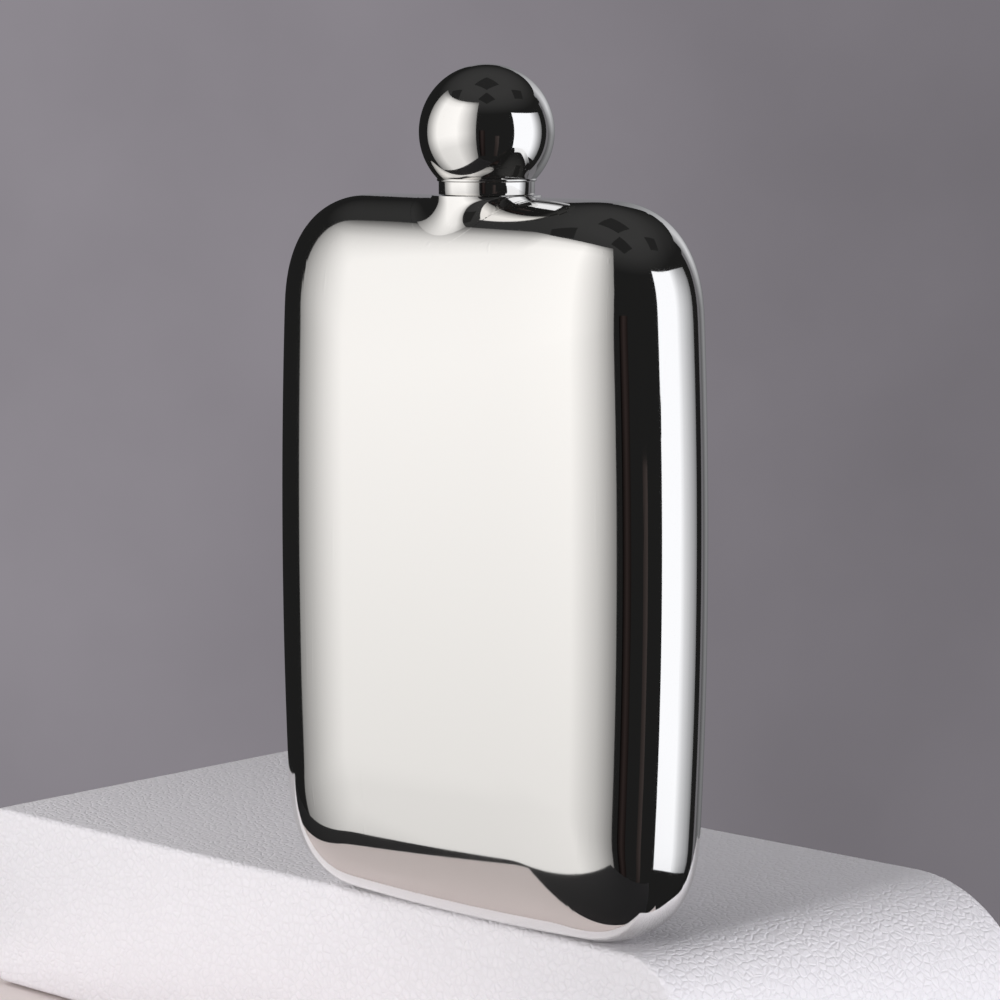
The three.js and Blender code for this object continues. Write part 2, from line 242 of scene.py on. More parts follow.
def polished_steel():
    """Mirror-polished stainless: a clean reflection, upright buffing hairlines and a faint haze."""
    material, nodes, links, surface = material_nodes("polished_steel")
    surface.inputs["Metallic"].default_value = 1.0
    surface.inputs["Base Color"].default_value = (0.82, 0.81, 0.795, 1)
    haze = noise_on_object(nodes, links, 55, (1, 1, 0.5), 4)
    links.new(ramp_between(nodes, links, haze.outputs["Fac"], 0.028, 0.062), surface.inputs["Roughness"])
    sheet = noise_on_object(nodes, links, 28, (1, 1, 0.45), 1)
    wave = add_bump(nodes, links, sheet.outputs["Fac"], 0.02 * MM, 1.0)
    hairs = noise_on_object(nodes, links, 1400, (1, 1, 0.012), 2)
    buffed = add_bump(nodes, links, hairs.outputs["Fac"], 0.0016 * MM, 1.0, wave)
    marks = noise_on_object(nodes, links, 700, (1, 1, 0.03), 2)
    scratch = ramp_between(nodes, links, marks.outputs["Fac"], 0, 1, 0.66, 0.74)
    lines = add_bump(nodes, links, scratch, 0.004 * MM, 1.0, buffed)
    links.new(lines.outputs["Normal"], surface.inputs["Normal"])
    return material


def drawn_steel():
    """The dull inside of the drawn sheet."""
    material, nodes, links, surface = material_nodes("drawn_steel")
    surface.inputs["Metallic"].default_value = 1.0
    surface.inputs["Base Color"].default_value = (0.56, 0.55, 0.53, 1)
    grain = noise_on_object(nodes, links, 420, (1, 1, 0.3), 5)
    links.new(ramp_between(nodes, links, grain.outputs["Fac"], 0.3, 0.48), surface.inputs["Roughness"])
    bump = add_bump(nodes, links, grain.outputs["Fac"], 0.02 * MM, 0.6)
    links.new(bump.outputs["Normal"], surface.inputs["Normal"])
    return material


POLISHED = polished_steel()
DRAWN = drawn_steel()

outer_skin = front_skin()
face_probe = max(outer_skin.faces, key=lambda face: -face.calc_center_median().y)
point_outwards(outer_skin, face_probe, Vector((0, -1, 0)))
for vert in outer_skin.verts:
    vert.co.z = max(vert.co.z, 0)
outer_skin.normal_update()
skin_normals = {}
for vert in outer_skin.verts:
    normal = vert.normal.copy()
    if vert.is_boundary:
        normal.y = 0
        normal.normalize()
    skin_normals[tuple(round(c, 7) for c in vert.co)] = normal


def body_normal(point):
    """The normal of the whole body's skin at one of its points, front or rear."""
    key = (round(point.x, 7), round(-abs(point.y), 7), round(point.z, 7))
    normal = skin_normals.get(key)
    if normal is None or point.y <= 0:
        return normal
    return Vector((normal.x, -normal.y, normal.z))


above_hole = [
    face for face in outer_skin.faces
    if face.calc_center_median().z > BODY_MIDDLE
    and face.calc_center_median().xy.length < NECK_HOLE
]
bmesh.ops.delete(outer_skin, geom=above_hole, context="FACES")
outer_faces = outer_skin.faces[:]
for face in outer_faces:
    face.material_index = 0
bmesh.ops.solidify(outer_skin, geom=outer_faces, thickness=SHEET)
outer_set = set(outer_faces)
for face in outer_skin.faces:
    if face not in outer_set:
        face.material_index = 1
for vert in outer_skin.verts:
    vert.co.y = min(vert.co.y, 0)
for side, name in ((1, "front_shell"), (-1, "rear_shell")):
    half = outer_skin.copy()
    if side < 0:
        bmesh.ops.scale(half, vec=(1, -1, 1), verts=half.verts)
        bmesh.ops.reverse_faces(half, faces=half.faces[:])
    shell = add_piece(name + "_skin", half, [POLISHED, DRAWN], "flask", [name])
    keep_skin_normals(shell, body_normal)
outer_skin.free()

# ---------------------------------------------------------------------------------------------
# Seam weld. A bead of weld metal round the inside of the two rims, left as it cooled because
# nothing can reach it to grind it. It stops short of the neck hole on both sides.
# ---------------------------------------------------------------------------------------------
WELD_RADIUS = 0.45 * MM
WELD_SIDES = 10


def weld_metal():
    """Rippled weld metal with a straw heat tint."""
    material, nodes, links, surface = material_nodes("weld_metal")
    surface.inputs["Metallic"].default_value = 1.0
    tint = noise_on_object(nodes, links, 260, (1, 1, 1), 3)
    colours = nodes.new("ShaderNodeValToRGB")
    colours.color_ramp.elements[0].color = (0.42, 0.36, 0.27, 1)
    colours.color_ramp.elements[1].color = (0.6, 0.59, 0.58, 1)
    links.new(tint.outputs["Fac"], colours.inputs["Fac"])
    links.new(colours.outputs["Color"], surface.inputs["Base Color"])
    links.new(ramp_between(nodes, links, tint.outputs["Fac"], 0.28, 0.5), surface.inputs["Roughness"])
    bump = add_bump(nodes, links, tint.outputs["Fac"], 0.08 * MM, 0.8)
    links.new(bump.outputs["Normal"], surface.inputs["Normal"])
    return material


WELD = weld_metal()


def bead_along(points, radius, closed):
    """A round bead swept along points: a ring at each one, bridged to the next."""
    mesh = bmesh.new()
    count = len(points)
    rings = []
    for k, point in enumerate(points):
        ahead = points[(k + 1) % count] if closed or k + 1 < count else point
        behind = points[k - 1] if closed or k else point
        along = (ahead - behind).normalized()
        ring = bmesh.ops.create_circle(mesh, segments=WELD_SIDES, radius=radius)["verts"]
        bmesh.ops.rotate(mesh, verts=ring, matrix=along.to_track_quat("Z", "Y").to_matrix())
        bmesh.ops.translate(mesh, verts=ring, vec=point)
        rings.append({edge for vert in ring for edge in vert.link_edges})
    pairs = list(zip(rings, rings[1:] + rings[:1])) if closed else list(zip(rings, rings[1:]))
    for near, far in pairs:
        bmesh.ops.bridge_loops(mesh, edges=list(near | far))
    if not closed:
        bmesh.ops.holes_fill(mesh, edges=mesh.edges[:], sides=WELD_SIDES)
    bmesh.ops.recalc_face_normals(mesh, faces=mesh.faces)
    return mesh


inner_outline = body_outline(SHEET, TOP_CORNER - SHEET, BOTTOM_CORNER - SHEET)
clear_of_neck = [
    Vector((x, 0, max(z, SHEET))) for x, z in inner_outline
    if z < BODY_MIDDLE or abs(x) > NECK_HOLE + 2 * WELD_RADIUS
]
at_neck = next(k for k, point in enumerate(clear_of_neck)
               if point.z > BODY_MIDDLE and clear_of_neck[k - 1].x > 0 > point.x)
seam_run = clear_of_neck[at_neck:] + clear_of_neck[:at_neck]
add_piece("seam_weld_bead", bead_along(seam_run[::2], WELD_RADIUS, False), [WELD],
          "flask", ["seam_weld"])

# ---------------------------------------------------------------------------------------------
# Neck flare. A small ring with a hollow side, silver-soldered over the neck hole and blended into
# the shoulder by the polisher, so the shoulder seems to run up to the neck.
# ---------------------------------------------------------------------------------------------
COLLAR_RADIUS = 7.8 * MM
FLARE_LAND = 8.9 * MM
FLARE_TOP = SHOULDER + 0.15 * MM
FLARE_FOOT = 12.4 * MM
FLARE_SINK = 0.15 * MM
FLARE_TAIL = 0.2 * MM
FLARE_SAMPLE = 0.05 * MM
FLARE_TURNS = 192
FLARE_STEPS = 18


def shoulder_height(forward):
    """Height of the shoulder at a distance in front of the seam, near the middle of the flask."""
    height = SHOULDER
    for _ in range(6):
        along = (height - BODY_MIDDLE) / BODY_MIDDLE
        depth = HALF_DEPTH - FACE_CROWN + FACE_CROWN * (1 - along * along)
        rise = (abs(forward) / depth) ** EDGE_ROUND
        height = SHOULDER - TOP_EDGE_DEPTH * (1 - (1 - rise) ** (1 / EDGE_LEVEL))
    return height


def flare_profile(angle):
    """The hollow curve from the land down to the shoulder, where it ends along the skin."""
    forward = abs(math.sin(angle))
    foot_height = shoulder_height(FLARE_FOOT * forward)
    fall = (shoulder_height((FLARE_FOOT - FLARE_SAMPLE) * forward) - foot_height) / FLARE_SAMPLE
    top = Vector((FLARE_LAND, FLARE_TOP))
    foot = Vector((FLARE_FOOT, foot_height))
    room = FLARE_TOP - foot_height
    reach = fall * (FLARE_FOOT - FLARE_LAND) + 1e-9
    knee = Vector((FLARE_LAND, foot_height + (reach ** -4 + room ** -4) ** -0.25))
    points = []
    for i in range(FLARE_STEPS + 1):
        t = i / FLARE_STEPS
        points.append(top * (1 - t) ** 2 + knee * 2 * t * (1 - t) + foot * t * t)
    points.append(foot + Vector((FLARE_TAIL, -FLARE_SINK - fall * FLARE_TAIL)))
    return points


def neck_flare():
    """A ring of profiles round the neck, bridged to each other and closed underneath."""
    mesh = bmesh.new()
    station = mesh.verts.layers.int.new("station")
    profiles = [flare_profile(2 * math.pi * k / FLARE_TURNS) for k in range(FLARE_TURNS)]
    ring = bmesh.ops.create_circle(mesh, segments=FLARE_TURNS, radius=NECK_HOLE)["verts"]
    start = ring[:]
    for k, vert in enumerate(ring):
        vert[station] = k

    def place(verts, radius_height):
        for vert in verts:
            k = vert[station]
            angle = 2 * math.pi * k / FLARE_TURNS
            radius, height = radius_height(k)
            vert.co = (radius * math.cos(angle), radius * math.sin(angle), height)

    place(start, lambda k: (NECK_HOLE, FLARE_TOP))
    rim = mesh.edges[:]
    steps = [lambda k, i=i: tuple(profiles[k][i]) for i in range(FLARE_STEPS + 2)]
    steps.append(lambda k: (NECK_HOLE, profiles[k][-1].y - FLARE_SINK))
    for step in steps:
        grown = bmesh.ops.extrude_edge_only(mesh, edges=rim)["geom"]
        ring = [part for part in grown if isinstance(part, bmesh.types.BMVert)]
        place(ring, step)
        fresh = set(ring)
        rim = [edge for edge in mesh.edges if edge.verts[0] in fresh and edge.verts[1] in fresh]
    first = [edge for edge in mesh.edges
             if edge.is_boundary and all(vert in set(start) for vert in edge.verts)]
    bmesh.ops.bridge_loops(mesh, edges=first + rim)
    bmesh.ops.recalc_face_normals(mesh, faces=mesh.faces)
    return mesh


add_piece("neck_flare_ring", neck_flare(), [POLISHED], "flask", ["neck_flare"])

# ---------------------------------------------------------------------------------------------
# Neck tube. The spout, turned from bar: a bore, a rounded rim for the seal, an outside thread, and
# a plain shank that passes down through the flare and both shells.
# ---------------------------------------------------------------------------------------------
neck_low, neck_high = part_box("neck_tube")
NECK_BORE = 4.5 * MM
NECK_CORE = 5.3 * MM
NECK_SHANK = neck_high[0]
NECK_RIM = neck_high[2]
SHANK_TOP = SHOULDER + 2.8 * MM
RIM_ROUND = 0.25 * MM
TURN_STEPS = 144
THREAD_PITCH = 3 * MM
THREAD_HEIGHT = 0.6 * MM
THREAD_ROOT = 1.4 * MM
THREAD_CREST = 0.5 * MM
THREAD_LEAD = 0.35 * MM
THREAD_BITE = 0.15 * MM
THREAD_STEPS = 72
THREAD_FADE = 14


def spun(profile, steps=TURN_STEPS):
    """A turned piece: a profile of (radius, height) points spun about the Z axis. A profile that
    doesn't end on the axis closes on itself."""
    mesh = bmesh.new()
    verts = [mesh.verts.new((radius, 0, height)) for radius, height in profile]
    on_axis = profile[0][0] == 0 and profile[-1][0] == 0
    edges = [mesh.edges.new(pair) for pair in zip(verts, verts[1:])]
    if not on_axis:
        edges.append(mesh.edges.new((verts[-1], verts[0])))
    bmesh.ops.spin(mesh, geom=verts + edges, cent=(0, 0, 0), axis=(0, 0, 1),
                   angle=2 * math.pi, steps=steps, use_merge=True)
    bmesh.ops.remove_doubles(mesh, verts=mesh.verts, dist=1e-6)
    bmesh.ops.recalc_face_normals(mesh, faces=mesh.faces)
    return mesh


def rounded(points, radius, steps=5):
    """A closed profile with each of its corners rounded off."""
    path = []
    count = len(points)
    for k, (x, z) in enumerate(points):
        corner = Vector((x, z))
        before = Vector(points[k - 1]) - corner
        after = Vector(points[(k + 1) % count]) - corner
        reach = min(radius, before.length * 0.45, after.length * 0.45)
        start = corner + before.normalized() * reach
        end = corner + after.normalized() * reach
        for i in range(steps + 1):
            t = i / steps
            point = start * (1 - t) ** 2 + corner * 2 * t * (1 - t) + end * t * t
            path.append((point.x, point.y))
    return path


def thread_ridge(mesh, root, crest, low, high, phase):
    """Adds one ridge of a right-handed thread: its section drawn up and round, faded at its ends."""
    outwards = 1 if crest > root else -1
    start = low + THREAD_LEAD + THREAD_ROOT / 2
    end = high - THREAD_LEAD - THREAD_ROOT / 2
    steps = round((end - start) / THREAD_PITCH * THREAD_STEPS)
    sunk = root - outwards * THREAD_BITE

    def section(step):
        height = start + (end - start) * step / steps
        turn = 2 * math.pi * (height - phase) / THREAD_PITCH
        full = min(1, (step + 0.3) / THREAD_FADE, (steps - step + 0.3) / THREAD_FADE)
        tip = root + (crest - root) * math.sin(full * math.pi / 2)
        soft = root + (tip - root) * 0.8
        outline = ((sunk, -THREAD_ROOT / 2), (soft, -THREAD_CREST * 0.75), (tip, -THREAD_CREST / 4),
                   (tip, THREAD_CREST / 4), (soft, THREAD_CREST * 0.75), (sunk, THREAD_ROOT / 2))
        return [Vector((radius * math.cos(turn), radius * math.sin(turn), height + offset))
                for radius, offset in outline]

    verts = [mesh.verts.new(point) for point in section(0)]
    first = mesh.faces.new(verts)
    rim = list(first.edges)
    layer = verts
    for step in range(1, steps + 1):
        moved = {}
        grown = bmesh.ops.extrude_edge_only(mesh, edges=rim)["geom"]
        fresh = {part for part in grown if isinstance(part, bmesh.types.BMVert)}
        for old in layer:
            moved[old] = next(edge.other_vert(old) for edge in old.link_edges
                              if edge.other_vert(old) in fresh)
        layer = [moved[old] for old in layer]
        for vert, point in zip(layer, section(step)):
            vert.co = point
        rim = [edge for edge in mesh.edges if edge.verts[0] in fresh and edge.verts[1] in fresh]
    mesh.faces.new(layer)
    bmesh.ops.recalc_face_normals(mesh, faces=mesh.faces)


def turned_steel():
    """Stainless as it leaves the lathe, with fine tool rings round the axis."""
    material, nodes, links, surface = material_nodes("turned_steel")
    surface.inputs["Metallic"].default_value = 1.0
    surface.inputs["Base Color"].default_value = (0.68, 0.67, 0.65, 1)
    rings = noise_on_object(nodes, links, 900, (0.02, 0.02, 5), 3)
    links.new(ramp_between(nodes, links, rings.outputs["Fac"], 0.14, 0.26), surface.inputs["Roughness"])
    bump = add_bump(nodes, links, rings.outputs["Fac"], 0.006 * MM, 0.7)
    links.new(bump.outputs["Normal"], surface.inputs["Normal"])
    return material


TURNED = turned_steel()

neck = spun(rounded([
    (NECK_BORE, neck_low[2]),
    (NECK_SHANK, neck_low[2]),
    (NECK_SHANK, SHANK_TOP - THREAD_HEIGHT),
    (NECK_CORE, SHANK_TOP),
    (NECK_CORE, NECK_RIM),
    (NECK_BORE, NECK_RIM),
], RIM_ROUND))
thread_ridge(neck, NECK_CORE, NECK_CORE + THREAD_HEIGHT, SHANK_TOP, NECK_RIM, SHANK_TOP)
add_piece("neck_tube_turned", neck, [TURNED], "flask", ["neck_tube"])

# ---------------------------------------------------------------------------------------------
# Seal washer. A disc of soft white silicone at the top of the threaded cup, pressed by the neck's
# rim when the cap is down. It rises with the cap.
# ---------------------------------------------------------------------------------------------
seal_low, seal_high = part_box("seal_washer")
SEAL_ROUND = 0.3 * MM
SEAL_MARK_DEPTH = 0.08 * MM


def silicone():
    """Milky silicone with a matt skin."""
    material, nodes, links, surface = material_nodes("silicone")
    milk = noise_on_object(nodes, links, 300, (1, 1, 1), 3)
    colours = nodes.new("ShaderNodeValToRGB")
    colours.color_ramp.elements[0].color = (0.74, 0.73, 0.69, 1)
    colours.color_ramp.elements[1].color = (0.86, 0.85, 0.82, 1)
    links.new(milk.outputs["Fac"], colours.inputs["Fac"])
    links.new(colours.outputs["Color"], surface.inputs["Base Color"])
    surface.inputs["Subsurface Weight"].default_value = 0.35
    surface.inputs["Subsurface Scale"].default_value = 0.001
    links.new(ramp_between(nodes, links, milk.outputs["Fac"], 0.38, 0.55), surface.inputs["Roughness"])
    bump = add_bump(nodes, links, milk.outputs["Fac"], 0.03 * MM, 0.5)
    links.new(bump.outputs["Normal"], surface.inputs["Normal"])
    return material


seal_profile = [(0, seal_low[2])]
seal_profile += [(NECK_BORE - 0.2 * MM, seal_low[2]), (NECK_BORE, seal_low[2] + SEAL_MARK_DEPTH),
                 (NECK_CORE, seal_low[2] + SEAL_MARK_DEPTH), (NECK_CORE + 0.2 * MM, seal_low[2])]
for i in range(7):
    turn = math.pi * i / 6 - math.pi / 2
    height = (seal_low[2] + seal_high[2]) / 2 + (seal_high[2] - seal_low[2]) / 2 * math.sin(turn)
    seal_profile.append((seal_high[0] - SEAL_ROUND + SEAL_ROUND * math.cos(turn), height))
seal_profile.append((0, seal_high[2]))
add_piece("seal_disc", spun(seal_profile), [silicone()], "cap_lift", ["seal_washer"])

# ---------------------------------------------------------------------------------------------
# Thread insert. A turned cup with an inside thread, soldered in the collar and reaching up into
# the ball. It holds the seal in its closed top and screws down over the neck.
# ---------------------------------------------------------------------------------------------
insert_low, insert_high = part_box("thread_insert")
INSERT_RADIUS = insert_high[0]
THREAD_PLAY = 0.25 * MM
INSERT_BORE = NECK_SHANK + THREAD_PLAY
INSERT_ROOF = seal_high[2] + 0.3 * MM
INSERT_ROUND = 0.3 * MM

lip = rounded([
    (INSERT_BORE, INSERT_ROOF),
    (INSERT_BORE, insert_low[2]),
    (INSERT_RADIUS, insert_low[2]),
    (INSERT_RADIUS, insert_high[2]),
], INSERT_ROUND)[6:18]
insert = spun([(0, INSERT_ROOF), (INSERT_BORE, INSERT_ROOF)] + lip
              + [(INSERT_RADIUS, insert_high[2]), (0, insert_high[2])])
thread_ridge(insert, INSERT_BORE, INSERT_BORE - THREAD_HEIGHT, SHANK_TOP, seal_low[2],
             SHANK_TOP + THREAD_PITCH / 2)
add_piece("thread_insert_cup", insert, [TURNED], "cap", ["thread_insert"])

# ---------------------------------------------------------------------------------------------
# Cap collar. The short polished tube under the ball, with a fine half-round bead where the ball
# seats on it and a crisp lower edge just clear of the flare.
# ---------------------------------------------------------------------------------------------
collar_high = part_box("cap_collar")[1]
COLLAR_WALL = 0.5 * MM
BEAD = 0.3 * MM
BALL_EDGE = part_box("ball_lower")[0][2]
BEAD_CENTRE = BALL_EDGE - 0.25 * MM
COLLAR_LOW = FLARE_TOP + 0.12 * MM
EDGE_BREAK = 0.12 * MM

collar_profile = [
    (COLLAR_RADIUS - COLLAR_WALL, COLLAR_LOW + EDGE_BREAK),
    (COLLAR_RADIUS - COLLAR_WALL + EDGE_BREAK, COLLAR_LOW),
    (COLLAR_RADIUS - EDGE_BREAK, COLLAR_LOW),
    (COLLAR_RADIUS - EDGE_BREAK * 0.3, COLLAR_LOW + EDGE_BREAK * 0.3),
    (COLLAR_RADIUS, COLLAR_LOW + EDGE_BREAK),
]
collar_profile += [
    (COLLAR_RADIUS + BEAD * math.cos(turn), BEAD_CENTRE + BEAD * math.sin(turn))
    for turn in (math.pi * i / 12 - math.pi / 2 for i in range(13))
]
collar_profile += [(COLLAR_RADIUS, collar_high[2]), (COLLAR_RADIUS - COLLAR_WALL, collar_high[2])]
add_piece("cap_collar_tube", spun(collar_profile), [POLISHED], "cap", ["cap_collar"])

# ---------------------------------------------------------------------------------------------
# Ball. Two pressed cups welded round the middle, ground and polished until they read as one ball.
# The lower cup is open underneath, and seats on the collar's bead.
# ---------------------------------------------------------------------------------------------
BALL_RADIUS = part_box("ball_weld")[1][0]
BALL_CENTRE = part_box("ball_upper")[1][2] - BALL_RADIUS
BALL_SHEET = 0.8 * MM
BALL_HOLE = COLLAR_RADIUS + 0.02 * MM
BALL_ARC_STEPS = 56
BALL_TURNS = 192
BALL_WELD_DEPTH = 0.35 * MM
BALL_WELD_HALF = 0.5 * MM


def ball_arc(radius, from_turn, to_turn, steps):
    """Points about the ball's centre, from one latitude to another."""
    turns = [from_turn + (to_turn - from_turn) * i / steps for i in range(steps + 1)]
    return [(radius * math.cos(turn), BALL_CENTRE + radius * math.sin(turn)) for turn in turns]


def ball_normal(point):
    """The normal of the whole ball at a point of its skin."""
    outwards = point - Vector((0, 0, BALL_CENTRE))
    return outwards.normalized() if outwards.length > BALL_RADIUS - BALL_SHEET / 2 else None


inner_ball = BALL_RADIUS - BALL_SHEET
crown = ball_arc(inner_ball, math.pi / 2, 0, 20) + ball_arc(BALL_RADIUS, 0, math.pi / 2, BALL_ARC_STEPS)
crown[0] = (0, crown[0][1])
crown[-1] = (0, crown[-1][1])
lip_outer = -math.acos(BALL_HOLE / BALL_RADIUS)
lip_inner = -math.acos(BALL_HOLE / inner_ball)
bowl = ball_arc(BALL_RADIUS, lip_outer, 0, BALL_ARC_STEPS // 2) + ball_arc(inner_ball, 0, lip_inner, 16)
for name, profile in (("ball_upper", crown), ("ball_lower", bowl)):
    cup = add_piece(name + "_cup", spun(profile, BALL_TURNS), [POLISHED], "cap", [name])
    keep_skin_normals(cup, ball_normal)

weld_ring = [
    (inner_ball - BALL_WELD_DEPTH * math.cos(turn), BALL_CENTRE + BALL_WELD_HALF * math.sin(turn))
    for turn in (math.pi * i / 8 - math.pi / 2 for i in range(9))
]
add_piece("ball_weld_bead", spun(weld_ring), [WELD], "cap", ["ball_weld"])

# ---------------------------------------------------------------------------------------------
# Camera. A long lens at the height of the cap, looking slightly down at the front and the right
# side.
# ---------------------------------------------------------------------------------------------
CAMERA_AZIMUTH = math.radians(43.04)
CAMERA_ELEVATION = math.radians(8.07)
CAMERA_DISTANCE = 0.5441
CAMERA_CENTRE = Vector((0, 0, 0.059))
CAMERA_AIM = Vector((0.0007, 0.0024, 0.0689))
CAMERA_LENS = 119.2

towards_camera = Vector((
    math.sin(CAMERA_AZIMUTH) * math.cos(CAMERA_ELEVATION),
    -math.cos(CAMERA_AZIMUTH) * math.cos(CAMERA_ELEVATION),
    math.sin(CAMERA_ELEVATION),
))
camera = bpy.data.objects.new("camera", bpy.data.cameras.new("camera"))
bpy.context.collection.objects.link(camera)
camera.location = CAMERA_CENTRE + towards_camera * CAMERA_DISTANCE
camera.rotation_euler = (CAMERA_AIM - camera.location).to_track_quat("-Z", "Y").to_euler()
camera.data.lens = CAMERA_LENS
camera.data.sensor_width = 36
camera.data.clip_start = 0.01
camera.data.clip_end = 20
bpy.context.scene.camera = camera

# ---------------------------------------------------------------------------------------------
# Floor. A plain pale slab of foam with a rounded right end. The flask stands near its front edge.
# A pale box carries it, on a dark table.
# ---------------------------------------------------------------------------------------------
SLAB_LOW = Vector((-0.1245, -0.0045, -0.034))
SLAB_HIGH = Vector((0.059, 0.075, -0.0001))
SLAB_END_ROUND = 0.025
SLAB_FRONT_SHARE = 0.42
SLAB_EDGE = 0.0012
BOX_CORNER = Vector((-0.032, -0.068))
BOX_LEFT = Vector((-0.165, 0.093))
BOX_RIGHT = Vector((0.096, 0.087))
BOX_TOP = -0.0345
TABLE_TOP = -0.096
TABLE_EDGE = Vector((-0.040, -0.169))
TABLE_ALONG = Vector((-0.934, 0.358))


def stage_piece(name, mesh, material):
    """A finished mesh becomes a piece of the set."""
    data = bpy.data.meshes.new(name)
    mesh.to_mesh(data)
    mesh.free()
    data.materials.append(material)
    piece = bpy.data.objects.new(name, data)
    bpy.context.collection.objects.link(piece)
    return piece


def foam():
    """Pale foam: beads pressed together, with fine creases where they meet, painted a little darker as
    painted shade.
    """
    material, nodes, links, surface = material_nodes("foam")
    place = nodes.new("ShaderNodeTexCoord")
    beads = nodes.new("ShaderNodeTexVoronoi")
    beads.feature = "DISTANCE_TO_EDGE"
    beads.inputs["Scale"].default_value = 720
    links.new(place.outputs["Object"], beads.inputs["Vector"])
    # Painted shade: the creases between the beads are painted a little darker than the beads.
    crease_shade = ramp_between(nodes, links, beads.outputs["Distance"], 0, 1, 0, 0.12)
    colours = nodes.new("ShaderNodeValToRGB")
    colours.color_ramp.elements[0].color = (0.835, 0.815, 0.85, 1)
    colours.color_ramp.elements[1].color = (0.86, 0.84, 0.875, 1)
    links.new(crease_shade, colours.inputs["Fac"])
    links.new(colours.outputs["Color"], surface.inputs["Base Color"])
    tooth = noise_on_object(nodes, links, 500, (1, 1, 1), 3)
    links.new(ramp_between(nodes, links, tooth.outputs["Fac"], 0.5, 0.75), surface.inputs["Roughness"])
    domes = ramp_between(nodes, links, beads.outputs["Distance"], 0, 1, 0, 0.22)
    pressed = add_bump(nodes, links, domes, 0.18 * MM, 0.6)
    bump = add_bump(nodes, links, tooth.outputs["Fac"], 0.2 * MM, 0.3, pressed)
    links.new(bump.outputs["Normal"], surface.inputs["Normal"])
    return material


def plain_matt(name, colour):
    """A plain matt surface of the set."""
    material, nodes, links, surface = material_nodes(name)
    surface.inputs["Base Color"].default_value = (*colour, 1)
    surface.inputs["Roughness"].default_value = 0.8
    return material


slab = bmesh.new()
bmesh.ops.create_cube(slab, size=1)
bmesh.ops.scale(slab, vec=SLAB_HIGH - SLAB_LOW, verts=slab.verts)
bmesh.ops.translate(slab, vec=(SLAB_HIGH + SLAB_LOW) / 2, verts=slab.verts)
right_top = [edge for edge in slab.edges
             if all(vert.co.x > 0 and vert.co.z > SLAB_HIGH.z - SLAB_EDGE for vert in edge.verts)]
bmesh.ops.bevel(slab, geom=right_top, offset=SLAB_END_ROUND, segments=20, profile=0.5,
                affect="EDGES", material=-1)
crisp = [edge for edge in slab.edges if edge.calc_face_angle(0) > math.radians(60)]
bmesh.ops.bevel(slab, geom=crisp, offset=SLAB_EDGE, segments=3, profile=0.5,
                affect="EDGES", material=-1)
round_from = SLAB_HIGH.x - SLAB_END_ROUND
for vert in slab.verts:
    back = (vert.co.y - SLAB_LOW.y) / (SLAB_HIGH.y - SLAB_LOW.y)
    share = SLAB_FRONT_SHARE + (1 - SLAB_FRONT_SHARE) * back
    if vert.co.x > round_from:
        vert.co.x = round_from + (vert.co.x - round_from) * share
        if vert.co.z > -SLAB_END_ROUND * 1.05:
            vert.co.z *= share
shade(stage_piece("slab", slab, foam()))


def prism(corners, low, high):
    """A flat-topped block over a four-sided plan."""
    mesh = bmesh.new()
    base = mesh.faces.new([mesh.verts.new((x, y, low)) for x, y in corners])
    raised = bmesh.ops.extrude_face_region(mesh, geom=[base])["geom"]
    verts = [part for part in raised if isinstance(part, bmesh.types.BMVert)]
    bmesh.ops.translate(mesh, vec=(0, 0, high - low), verts=verts)
    bmesh.ops.recalc_face_normals(mesh, faces=mesh.faces)
    return mesh


box_corners = [BOX_CORNER, BOX_CORNER + BOX_RIGHT, BOX_CORNER + BOX_RIGHT + BOX_LEFT,
               BOX_CORNER + BOX_LEFT]
stage_piece("box", prism(box_corners, TABLE_TOP, BOX_TOP), plain_matt("card", (0.8, 0.725, 0.705)))
table_back = Vector((TABLE_ALONG.y, -TABLE_ALONG.x)) * 0.22
table_corners = [TABLE_EDGE - TABLE_ALONG * 0.16, TABLE_EDGE - TABLE_ALONG * 0.16 + table_back,
                 TABLE_EDGE + TABLE_ALONG * 0.5 + table_back, TABLE_EDGE + TABLE_ALONG * 0.5]
table = stage_piece("table", prism(table_corners, TABLE_TOP - 0.03, TABLE_TOP),
                    plain_matt("black_cloth", (0.012, 0.012, 0.013)))
table.visible_camera = False

# ---------------------------------------------------------------------------------------------
# Studio. A tall curved scrim on the left, a smaller bright panel on the right and a dark room
# between them, with a grey cloth behind. Each is seen only in reflections.
# ---------------------------------------------------------------------------------------------
CAP_HEIGHT = BALL_CENTRE


def grey_ramp(nodes, links, source, stops):
    """A ramp of plain grey levels along a value from 0 to 1."""
    ramp = nodes.new("ShaderNodeValToRGB")
    first, last = ramp.color_ramp.elements
    first.position, last.position = stops[0][0], stops[-1][0]
    first.color = (*[stops[0][1]] * 3, 1)
    last.color = (*[stops[-1][1]] * 3, 1)
    for place, level in stops[1:-1]:
        ramp.color_ramp.elements.new(place).color = (level, level, level, 1)
    links.new(source, ramp.inputs["Fac"])
    return ramp.outputs["Color"]


